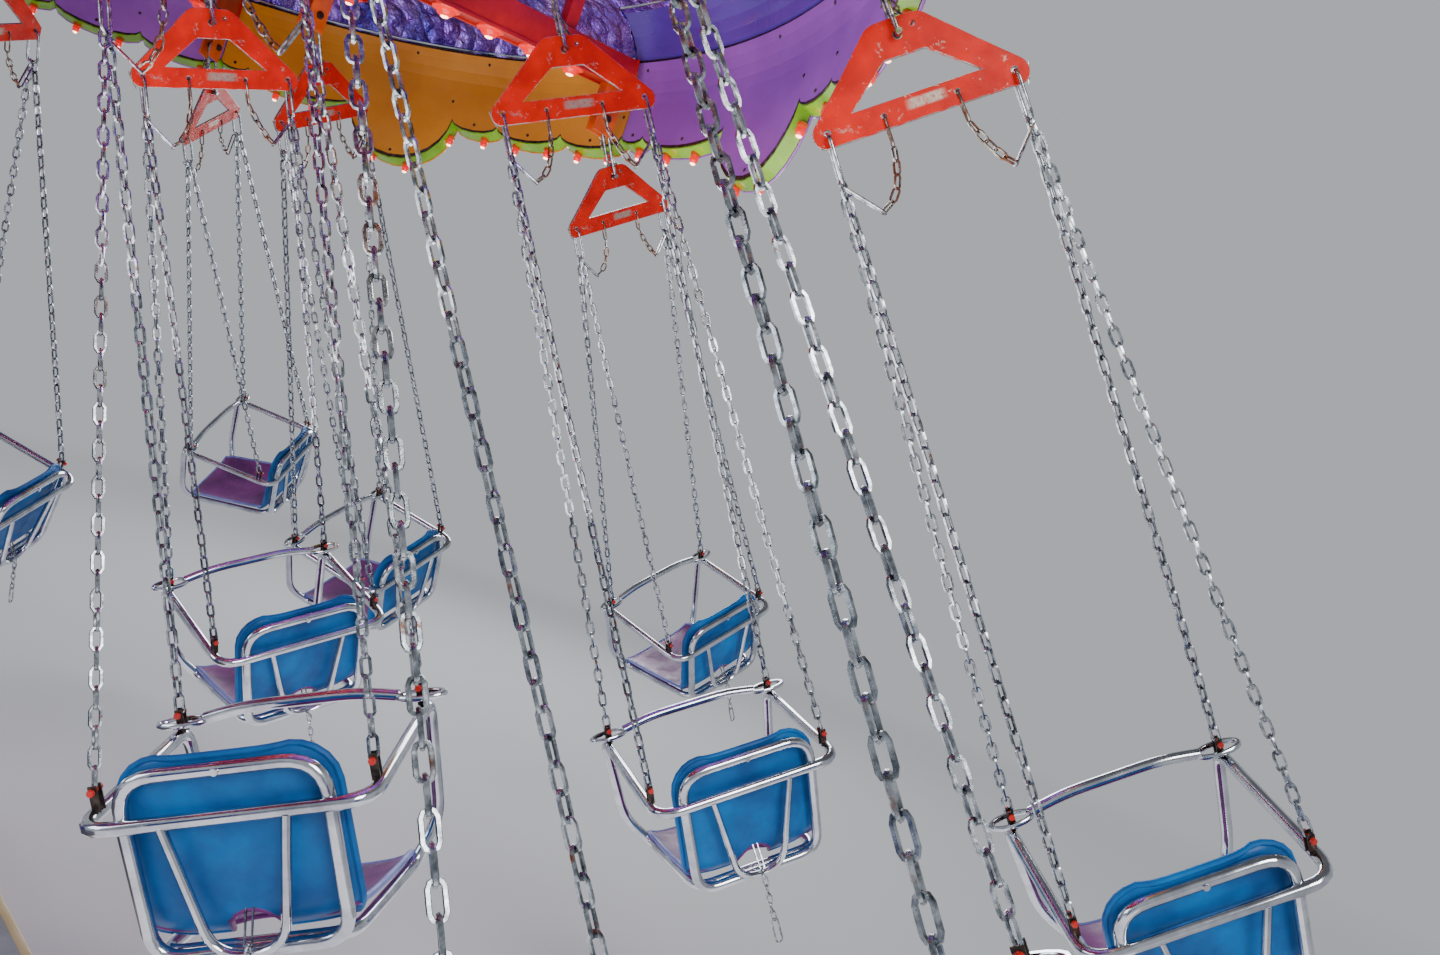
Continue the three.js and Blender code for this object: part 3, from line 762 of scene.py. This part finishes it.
def lock_chain_mesh():
    """The short chain with a long end link that hangs through the notch behind the seat."""
    solid = Solid()
    bend = (0, -0.264, -0.246)
    long_link(solid, (0, -0.224, -0.186), bend, 0.018, 0.005, (1, 0, 0), 0, 6)
    lay_chain(solid, [bend, (0.004, -0.292, -0.392)], 0.026, 0.005, 0.008, 0.6, 0.2, seed=31)
    long_link(solid, (0.004, -0.291, -0.388), (0.008, -0.304, -0.456), 0.024, 0.0055, (1, 0, 0), 0, 6)
    return solid.mesh("lock_chain", [LINK], 60)


plate, steel = plate_mesh(), hanger_steel_mesh()
seat_pieces = (
    ("frame", chair_frame_mesh(), "chair_chrome"),
    ("back", seat_back_mesh(), "shell_blue"),
    ("pan", seat_pan_mesh(), "pan_purple"),
    ("lock", lock_chain_mesh(), "chain_steel"),
)
for row, (radius, rise, offset, drop, outs, sways) in ROWS.items():
    chains = chains_mesh(drop, 3 if row == "inner" else 4)
    for bay in range(BAYS):
        azimuth = (bay + offset) * BAY
        pin = moved(*polar(radius, azimuth, rise))
        flown = pin @ turned(azimuth) @ turned(-radians(outs[bay % 4]), "Y")
        swayed = flown @ moved(0, 0, PLATE_HOLE_Z) @ turned(radians(sways[bay % 4]), "X")
        seat = swayed @ moved(0, 0, -drop) @ turned(RECLINE, "X")
        name = f"swing_{row}_{bay + 1}"
        hanger, chair = f"{name}_hanger", f"{name}_chair"
        put(f"{name}_plate", plate, hanger, "hanger_red", hanger, matrix=flown)
        put(f"{name}_links", steel, hanger, "chain_steel", matrix=flown)
        put(f"{name}_chains", chains, chair, "chain_steel", chair, matrix=swayed)
        for piece, mesh, slot in seat_pieces:
            # The matrix goes into the points, so that the box of the piece is its real one.
            copy = mesh.copy()
            copy.transform(seat)
            put(f"{name}_{piece}", copy, chair, slot)


# ---- crown: canopy
CUSPS = (0, 0.17, 0.34, 0.455, 0.7, 0.94, 1)
DEEP_LOBE = 3
# Heights over the pins: the cusps, the foot of the soffit's curve and the seam.
CUSP_Z, BEND_Z, SEAM_Z = -0.02, 0.1, 0.25
# Parts of a bay at which the lobed edge is drawn, closer together beside the cusps.
PARTS = [0]
for a, b in zip(CUSPS, CUSPS[1:]):
    steps = max(5, round(48 * (b - a)))
    PARTS += [a + (b - a) * (1 - cos(pi * k / steps)) / 2 for k in range(1, steps + 1)]


def rim_angles(bay, gap):
    """Angles of a bay's rim parts, with a gap in radians to the next bay at each end."""
    spots = [(bay + part) * BAY for part in PARTS]
    return [spots[0] + gap, *spots[1:-1], spots[-1] - gap]


def rim_edge(part):
    """Height of the lobed edge at a part of the bay: small round lobes and one deep one."""
    for i, (a, b) in enumerate(zip(CUSPS, CUSPS[1:])):
        if a <= part <= b:
            t = (part - a) / (b - a)
            drop = 0.205 if i == DEEP_LOBE else min(0.05, 0.2 * (b - a) + 0.012)
            return CUSP_Z - drop * sqrt(max(0, 1 - (2 * t - 1) ** 2))


def cove_radius(z):
    """Radius of the soffit's curve at a height over its vertical part."""
    deep, high = 0.3, 0.31
    return RIM_RADIUS - deep * (1 - sqrt(max(0, 1 - ((z - BEND_Z) / high) ** 2)))


def cove(part, upper_top):
    """The soffit's section from the lobed edge up and in, as radius, height and material slot."""
    edge = rim_edge(part)
    # The dark strip just over the lobed edge, slot 3, is a painted shadow of the gap between the soffit and
    # the board.
    painted_gap_shadow = min(0.003 + 0.13 * (CUSP_Z - edge), 0.013)
    seam = cove_radius(SEAM_Z)
    section = [(RIM_RADIUS, edge, 0), (RIM_RADIUS, edge + painted_gap_shadow, 3)]
    section += [(RIM_RADIUS + 0.001, edge + 0.03, 0), (RIM_RADIUS, BEND_Z, 0)]
    section += [(cove_radius(z), z, 0) for z in (0.14, 0.18, 0.215, SEAM_Z - 0.006)]
    section += [(seam + 0.01, SEAM_Z - 0.001, 3), (seam + 0.008, SEAM_Z + 0.005, 3)]
    for z in (0.257, 0.285, 0.315, 0.345, 0.37, 0.39, 0.402):
        section.append((cove_radius(z), z, 2 if z < upper_top else 4))
    section += [(r, LEDGE_Z + 0.002, 4) for r in np.linspace(2.33, 2, 8)]
    for r in np.linspace(1.94, CEILING_RADIUS + 0.004, 8):
        section.append((r, CEILING_Z - 0.028 * (r - CEILING_RADIUS) / 0.4, 4))
    return section


def panel_mesh(bay, material, upper, upper_top):
    """A bay's soffit as a thin shell, crinkled above the band, with its bead and screws."""
    solid = Solid()
    sections = [cove(part, upper_top) for part in PARTS]
    rows, size = len(PARTS), len(sections[0])
    chance = np.random.default_rng(40 + bay)
    points = []
    # The upper side lies outward up to section point 10 and is lifted from point 4 on.
    for outward, upward, depth in ((0, 0, 0.008), (0.01, 0.011, 0)):
        for angle, section in zip(rim_angles(bay, 0.0012), sections):
            for k, (r, z, slot) in enumerate(section):
                crinkled = depth and slot == 4 and k < size - 1
                crinkle = chance.uniform(0, depth) if crinkled else 0
                points.append(polar(r + outward * (k <= 10), angle, z + upward * (k > 3) - crinkle))
    upper_side = rows * size
    for k in range(size - 1):
        strip = []
        for i in range(rows - 1):
            a, b = i * size + k, (i + 1) * size + k
            c, d = upper_side + a, upper_side + b
            strip += [(a, b, b + 1, a + 1), (c, c + 1, d + 1, d)]
            if k == 0:
                strip.append((a, c, d, b))
            if k == size - 2:
                strip.append((a + 1, b + 1, d + 1, c + 1))
        for a in (k, (rows - 1) * size + k):
            strip.append((a, a + 1, upper_side + a + 1, upper_side + a))
        solid.add_used(points, strip, sections[0][k + 1][2])
    bead_z = upper_top if upper_top > SEAM_Z + 0.02 else SEAM_Z + 0.008
    spots = [(bay + 0.002 + 0.996 * i / 24) * BAY for i in range(25)]
    bead = [polar(cove_radius(bead_z) - 0.002, angle, bead_z) for angle in spots]
    solid.add(tube(bead, 0.006, 6), 1)
    screw = lathe([(0, -0.004), (0.005, -0.0035), (0.007, 0), (0.007, 0.003)], 8, "X")
    for a, b in zip(CUSPS, CUSPS[1:]):
        middle = (a + b) / 2
        for part, z in ((middle, rim_edge(middle) + 0.03), (a + 0.012, 0.055), (middle, SEAM_Z - 0.03)):
            place = aloft((bay + part) * BAY, cove_radius(max(z, BEND_Z)) + 0.001, z)
            solid.add(screw, 3, place)
    # Slot 3 is dark steel for the screws, and also the painted shadow of the gap over the lobed edge.
    return solid.mesh(f"canopy_panel_{bay + 1}_cove", [material, CHROME, upper, DARK, FOIL], 40)


def fascia_mesh(bays, name, material):
    """The lobed outer board of the rim, with its green edge band turned to the ground."""
    solid = Solid()
    inner, outer, top = RIM_RADIUS + 0.004, 2.711, 0.326

    def board(edge):
        foot = [(outer, edge - 0.016), (outer - 0.004, edge - 0.022), (outer - 0.008, edge - 0.02)]
        return [(outer - 0.008, top), (outer, top), *foot]

    def band(edge):
        low, high = edge - 0.018, edge - 0.011
        return [(inner, edge - 0.004), (outer - 0.01, low), (outer - 0.01, high), (inner, edge + 0.004)]

    for bay in bays:
        for slot, (section, gap) in enumerate(((board, 0.0008), (band, 0.001))):
            points = []
            for part, angle in zip(PARTS, rim_angles(bay, gap)):
                points += [polar(r, angle, z) for r, z in section(rim_edge(part))]
            size = len(points) // len(PARTS)
            ends = [range(size), range(len(points) - size, len(points))[::-1]]
            faces = grid_faces(len(PARTS), size, False, True) + [tuple(end) for end in ends]
            solid.add((points, faces), slot)
    return solid.mesh(name, [material, GREEN], 40)


def rim_bulbs_mesh():
    """Small red lamps along the outside of the lobed edge."""
    solid = Solid()
    count = 96
    bulge = [(0, -0.03), (0.009, -0.027), (0.0145, -0.019), (0.0155, -0.01), (0.012, 0), (0.01, 0.004)]
    collar = [(0.012, -0.002), (0.017, 0), (0.017, 0.01), (0.012, 0.012)]
    core = [(0, -0.034), (0.007, -0.032), (0.01, -0.0275), (0.006, -0.024)]
    forms = (lathe(bulge, 8, close=True), lathe(collar, 8, close=True), lathe(core, 6))
    for i in range(count):
        spot = (i + 0.5) / count * BAYS
        place = moved(*polar(2.69, spot * BAY, rim_edge(spot % 1) - 0.02))
        for slot, form in enumerate(forms):
            solid.add(form, slot, place)
    return solid.mesh("rim_bulbs", [BULB, ORANGE, BULB_CORE], 50)


for bay in range(BAYS):
    if bay % 2:
        mesh, slot = panel_mesh(bay, AMBER, VIOLET, 0.255), "amber_panel"
    else:
        mesh, slot = panel_mesh(bay, VIOLET, INDIGO, 0.38), "violet_panel"
    put(f"canopy_cove_{bay + 1}", mesh, "crown", slot, f"canopy_panel_{bay + 1}")
put("rim_board_violet", fascia_mesh([0, 2, 4, 6], "rim_board_violet", VIOLET), "crown", "violet_panel")
put("rim_board_amber", fascia_mesh([1, 3, 5, 7], "rim_board_amber", AMBER), "crown", "amber_panel")
put("rim_bulbs", rim_bulbs_mesh(), "crown", "bulb_red")


def ceiling_mesh():
    """The crinkled lining inside the ring of panels."""
    solid = Solid()
    rings, sectors, inside = 42, 180, 0.19
    chance = np.random.default_rng(7)
    points = []
    for i in range(rings + 1):
        r = inside + (CEILING_RADIUS - inside) * i / rings
        for angle in angles(sectors, 0.5 * (i % 2)):
            crinkle = 0 if i in (0, rings) else chance.uniform(-0.013, 0)
            wave = -0.01 * abs(sin(angle * 12 + i * 0.35)) * sin(pi * i / rings)
            points.append(polar(r, angle, CEILING_Z + crinkle + wave))
    upper = len(points)
    points += [(x, y, PIN_HEIGHT + CEILING_Z + 0.012) for x, y, z in points]
    faces = grid_faces(rings + 1, sectors, False, True)
    rim = rings * sectors
    for k in range(sectors):
        n = (k + 1) % sectors
        faces.append((upper + k, upper + rim + k, upper + rim + n, upper + n))
        faces.append((rim + k, rim + n, upper + rim + n, upper + rim + k))
        faces.append((k, upper + k, upper + n, n))
    solid.add_used(points, faces)
    return solid.mesh("ceiling_lining", [FOIL], 20)


put("ceiling_lining", ceiling_mesh(), "crown", "ceiling_foil", "crown_ceiling")


# ---- crown: arms, lamps and hub
def underside(offset, radius):
    """Height over the pins of the underside of the arms at that offset in bays."""
    height, at = ARM_UNDERSIDE[offset]
    return height + ARM_SLOPE * (radius - at)


def arms_mesh():
    """The radial box arms with end caps, lips, weld beads, brackets with pins, posts and hub."""
    solid = Solid()
    start, half, height = 0.24, 0.042, 0.112
    nut = lathe([(0, 0), (0.014, 0), (0.014, 0.009), (0.009, 0.01), (0.009, 0.014), (0, 0.014)], 6, "Y")
    pin = lathe([(0, -0.024), (0.0078, -0.024), (0.0078, 0.024), (0, 0.024)], 14, "Y")

    def beam(azimuth, offset, tip):
        slope = atan(ARM_SLOPE)
        length = (tip - start) / cos(slope)
        place = aloft(azimuth, start, underside(offset, start), slope)
        boxes = [
            ((0, -half, 0), (length, half, height - 0.004), 0.007),
            ((length - 0.006, -half - 0.004, -0.004), (length + 0.001, half + 0.004, height), 0.002),
        ]
        for y in (0.002 - half, half - 0.002):
            boxes.append(((0.05, y - 0.006, -0.006), (length - 0.02, y + 0.006, 0.006), 0.002))
        for x in np.arange(0.35, length - 0.1, 0.42):
            boxes.append(((x, -half - 0.003, 0.004), (x + 0.012, half + 0.003, height - 0.01), 0.002))
        for box in boxes:
            solid.add(block(*box), 0, place)

    def bracket(azimuth, radius, rise, roof):
        place = aloft(azimuth, radius, rise)
        top = roof + 0.004 - rise
        for side in (-1, 1):
            y = side * 0.021
            cheek = block((-0.041, y - 0.0038, -0.054), (0.041, y + 0.0038, top), 0.0015)
            solid.add(cheek, 1, place)
            flip = moved(0, side * 0.0248, 0) @ turned(0 if side > 0 else pi)
            solid.add(nut, 2, place @ flip)
        for x in (-0.037, 0.037):
            wall = block((x - 0.003, -0.0175, 0.045), (x + 0.003, 0.0175, top), 0.001)
            solid.add(wall, 1, place)
        solid.add(pin, 2, place)

    for bay in range(BAYS):
        long_arm, short_arm = bay * BAY, (bay + 0.5) * BAY
        beam(long_arm, 0, 2.608)
        beam(short_arm, 0.5, 2.078)
        bracket(long_arm, OUTER_PIN, 0, underside(0, 2.54))
        bracket(long_arm, INNER_PIN, -0.158, underside(0, INNER_PIN))
        bracket(short_arm, MID_PIN, 0.028, underside(0.5, MID_PIN))
        for azimuth, radius, foot in ((long_arm, 2.3, 0.19), (short_arm, 2.03, 0.25)):
            post = block((-0.024, -0.024, foot), (0.024, 0.024, LEDGE_Z - 0.001), 0.004)
            solid.add(post, 0, aloft(azimuth, radius, 0))
    lower = [(0, -0.2045), (0.285, -0.2045), (0.298, -0.195), (0.298, -0.165), (0.275, -0.155)]
    upper = [(0.275, 0.09), (0.298, 0.1), (0.298, 0.128), (0.285, 0.135), (0.18, 0.2)]
    hub = lathe([*lower, *upper, (0.178, 0.4385), (0, 0.4385)], 48)
    solid.add(hub, 0, moved(0, 0, PIN_HEIGHT))
    bolt = lathe([(0, -0.012), (0.012, -0.012), (0.013, -0.01), (0.013, 0)], 6)
    for angle in angles(24, 0.5):
        solid.add(bolt, 2, moved(*polar(0.287, angle, 0.1)))
    return solid.mesh("crown_arms", [ARM_RED, ORANGE, DARK], 35)


put("crown_arms", arms_mesh(), "crown", "red_frame", "crown_frame")


def arm_lamps_mesh():
    """Round red lamps in dished reflectors along the underside of the arms."""
    solid = Solid()
    dish = [(0.043, 0), (0.046, -0.005), (0.044, -0.009), (0.038, -0.01), (0.033, -0.003), (0, -0.002)]
    glass = [(0.032, -0.003), (0.033, -0.009), (0.029, -0.019), (0.022, -0.026), (0.012, -0.03), (0, -0.031)]
    core = [(0.014, -0.028), (0.013, -0.0315), (0.008, -0.034), (0, -0.035)]
    # The dish, slot 1, shows a painted glow of the bulb's light.
    forms = ((1, lathe(dish, 16)), (0, lathe(glass, 12)), (2, lathe(core, 8)))
    for offset, stop, pins in ((0, 2.6, (OUTER_PIN, INNER_PIN)), (0.5, 2.05, (MID_PIN,))):
        for bay in range(BAYS):
            for r in np.arange(0.55, stop, 0.165):
                if any(abs(r - pin) < 0.075 for pin in pins):
                    continue
                place = aloft((bay + offset) * BAY, r, underside(offset, r), atan(ARM_SLOPE))
                for slot, form in forms:
                    solid.add(form, slot, place)
    return solid.mesh("arm_lamps", [BULB, GLOW, BULB_CORE], 50)


put("arm_lamps", arm_lamps_mesh(), "crown", "bulb_red")


# ---- crown: roof
def roof_mesh():
    """The domed roof: sixteen gores with raised seams, an eave roll and the lantern."""
    solid = Solid()
    eave = [(2.69, 0.334), (2.712, 0.334), (2.712, 0.366)]
    dome = [(2.66, 0.4), (2.35, 0.556), (1.95, 0.658), (1.5, 0.754), (1, 0.832), (0.58, 0.884)]
    lining = [(0.56, 0.87), (1.5, 0.742), (2.28, 0.562), (2.6, 0.395)]
    section = eave + dome + lining
    sectors = 96
    points = []
    for angle in angles(sectors):
        swell = 0.012 * (1 - abs(cos(8 * angle)) ** 6) - 0.012
        points += [polar(r, angle, z + swell * (4 <= i <= 8)) for i, (r, z) in enumerate(section)]
    solid.add((points, grid_faces(sectors, len(section), True, True)))
    for angle in angles(16, 0.5):
        seam = [polar(r, angle, z - 0.001) for r, z in dome]
        solid.add(tube(seam, 0.009, 6), 1)
    for r, z in ((2.703, 0.35), (0.562, 0.893)):
        hoop = [polar(r, angle, z) for angle in angles(sectors)]
        solid.add(tube(hoop, 0.011, 6, closed=True), 1)
    wall = [(0.555, 0.872), (0.555, 1.098), (0.563, 1.102), (0.563, 1.148)]
    cap = [(0.52, 1.16), (0.3, 1.213), (0.1, 1.234), (0.058, 1.244), (0.058, 1.318), (0, 1.322)]
    centre = moved(0, 0, PIN_HEIGHT)
    solid.add(lathe(wall + cap, 48), 0, centre)
    ball = [(0.1 * sin(a), 1.42 - 0.105 * cos(a)) for a in np.linspace(0, pi, 13)]
    solid.add(lathe(ball, 28), 1, centre)
    return solid.mesh("roof_dome", [ROOF, CREAM], 30)


put("roof_dome", roof_mesh(), "crown", "roof_paint", "crown_roof")


def roof_lamps_mesh():
    """Red lamps round the wall of the lantern."""
    solid = Solid()
    bulge = [(0, -0.02), (0.01, -0.018), (0.016, -0.008), (0.016, 0.004), (0.012, 0.01), (0, 0.012)]
    for angle in angles(24):
        solid.add(lathe(bulge, 10), 0, aloft(angle, 0.548, 1, pi / 2))
    return solid.mesh("lantern_lamps", [BULB], 50)


put("lantern_lamps", roof_lamps_mesh(), "crown", "bulb_red")


# ---- base and mast
def mast_mesh():
    """Skirted foot, mast tube with straps and ribs, drive box and the bearing flange."""
    solid = Solid()
    top = PIN_HEIGHT - 0.2053
    foot = [(0, 0.116), (0.425, 0.118), (0.428, 0.145), (0.405, 0.16), (0.398, 0.515), (0.375, 0.56)]
    collar = [(0.265, 0.69), (0.262, 0.715), (0.234, 0.745), (0.232, top - 0.1), (0.245, top - 0.08)]
    flange = [(0.3, top - 0.07), (0.32, top - 0.06), (0.32, top - 0.001), (0, top - 0.001)]
    solid.add(lathe(foot + collar + flange, 64))
    for z in (0.8, 1.25, 1.7, 2.15, 2.45):
        band = [(0.23, z - 0.022), (0.2345, z - 0.02), (0.2345, z + 0.02), (0.23, z + 0.022)]
        solid.add(lathe(band, 64), 1)
    for angle in angles(12):
        rib = block((0.231, -0.004, 0.86), (0.2348, 0.004, 2.4), 0.001)
        solid.add(rib, 1, turned(angle))
    solid.add(block((0.2, -0.118, top - 0.418), (0.478, 0.118, top - 0.112), 0.012))
    for z in np.arange(top - 0.38, top - 0.15, 0.03):
        solid.add(block((0.474, -0.085, z), (0.4795, 0.085, z + 0.012), 0.001), 2)
    bolt = lathe([(0, 0.012), (0.012, 0.012), (0.013, 0.01), (0.013, 0)], 6)
    for angle in angles(16, 0.5):
        under_flange = moved(0.306 * cos(angle), 0.306 * sin(angle), top - 0.066) @ turned(pi, "X")
        solid.add(bolt, 2, under_flange)
        solid.add(bolt, 2, moved(0.412 * cos(angle), 0.412 * sin(angle), 0.146))
    return solid.mesh("mast_column", [MAST, CREAM, DARK], 35)


def deck_mesh():
    """The octagonal deck in eight tread plates with raised studs and a kick rail."""
    solid = Solid()
    radius, height, centre, pitch = 1.5, 0.12, 0.02, 0.085
    flat, half = radius * cos(BAY / 2), radius * sin(BAY / 2)
    stud = [(-0.018, 0, 0), (0, -0.005, 0), (0.018, 0, 0), (0, 0.005, 0)]
    stud += [(-0.01, 0, 0.0018), (0.01, 0, 0.0018)]
    stud = (stud, [(0, 1, 5, 4), (1, 2, 5), (2, 3, 4, 5), (3, 0, 4)])
    rail = block((flat - 0.03, -half + 0.02, height - 0.002), (flat - 0.004, half - 0.02, height), 0.0005)
    levels = ((0, 0.9965), (height - 0.004, 0.9965), (height, 0.9965 * 0.994))
    for k in range(BAYS):
        first, last = (k - 0.5) * BAY, (k + 0.5) * BAY
        spots = ((centre, first), (radius, first), (radius, last), (centre, last))
        corners = [Vector((r * cos(a), r * sin(a), 0)) for r, a in spots]
        middle = sum(corners, Vector((0, 0, 0))) / 4
        points = [(*middle.lerp(p, share).xy, z) for z, share in levels for p in corners]
        solid.add((points, [(3, 2, 1, 0), (8, 9, 10, 11), *grid_faces(3, 4, False, True)]))
        turn = turned(k * BAY)
        solid.add(rail, 1, turn)
        for x in np.arange(0.5, flat - 0.06, pitch):
            reach = x * tan(BAY / 2) - 0.03
            for y in np.arange(-reach, reach, pitch):
                tilt = 0.78 if int(round(x / pitch) + round(y / pitch)) % 2 else -0.78
                place = turn @ moved(x, y, height - 0.0018) @ turned(tilt)
                solid.add(stud, 0, place)
    return solid.mesh("base_deck", [DECK, CREAM], 30)


put("mast_column", mast_mesh(), "base", "mast_paint", "base_mast")
put("base_deck", deck_mesh(), "base", "mast_paint")


# ---- studio
SKY = (0.62, 0.64, 0.68, 1)
SKY_STRENGTH = 0.75
FLOOR_GREY = (0.56, 0.57, 0.59, 1)
FLOOR_REACH = 150
FLOOR_Z = -0.002
# Place, aim, size, power and colour of the soft lights.
LIGHTS = {
    "key": ((6.5, -8, 7.5), (0, 0, 2), 5, 900, (1, 0.97, 0.93)),
    "fill": ((-8, -4, 4), (0, 0, 2), 6, 450, (0.88, 0.93, 1)),
    "rear": ((1, 9, 6), (0, 0, 2), 5, 600, (0.95, 0.97, 1)),
    "under": ((2.3, -0.4, 0.02), (2.3, -0.4, 3), 5, 50, (1, 0.96, 0.98)),
    "canopy": ((1.9, 0.2, 1.7), (2, 0.4, 3), 2.4, 52, (1, 0.92, 0.91)),
}


def studio():
    """A floor that fades into the sky, the sky and the lights."""
    floor = bpy.data.meshes.new("floor")
    corners = ((-1, -1), (1, -1), (1, 1), (-1, 1))
    corners = [(x * FLOOR_REACH, y * FLOOR_REACH, FLOOR_Z) for x, y in corners]
    floor.from_pydata(corners, [], [(0, 1, 2, 3)])
    n = Nodes("studio_floor")
    n.set(Base_Color=FLOOR_GREY, Roughness=0.85)
    haze = n.node("Emission", Color=SKY, Strength=SKY_STRENGTH)
    away = n.node("VectorMath", Vector=n.coords)
    away.operation = "LENGTH"
    blend = n.node("MixShader", Fac=n.span(away.outputs["Value"], 4, 13))
    n.give(blend.inputs[1], n.shader.outputs["BSDF"])
    n.give(blend.inputs[2], haze.outputs["Emission"])
    n.give(n.tree.nodes["Material Output"].inputs["Surface"], blend.outputs["Shader"])
    floor.materials.append(n.material)
    new_object("floor", floor)
    # The sky darkens over 30 degrees, where it only shows as bands in the chrome.
    bpy.context.scene.world = bpy.data.worlds.new("studio")
    n = Nodes("studio", bpy.context.scene.world, "Background", "Generated")
    n.set(Color=SKY, Strength=n.span(n.axis(2), 0.5, 0.85, SKY_STRENGTH, 0.22))
    for name, (at, aim, size, power, colour) in LIGHTS.items():
        light = bpy.data.lights.new(name, "AREA")
        light.energy, light.size, light.color = power, size, colour
        holder = new_object(name, light)
        holder.visible_camera = False
        aimed = (Vector(aim) - Vector(at)).to_track_quat("-Z", "Y").to_matrix().to_4x4()
        holder.matrix_world = moved(*at) @ aimed


studio()
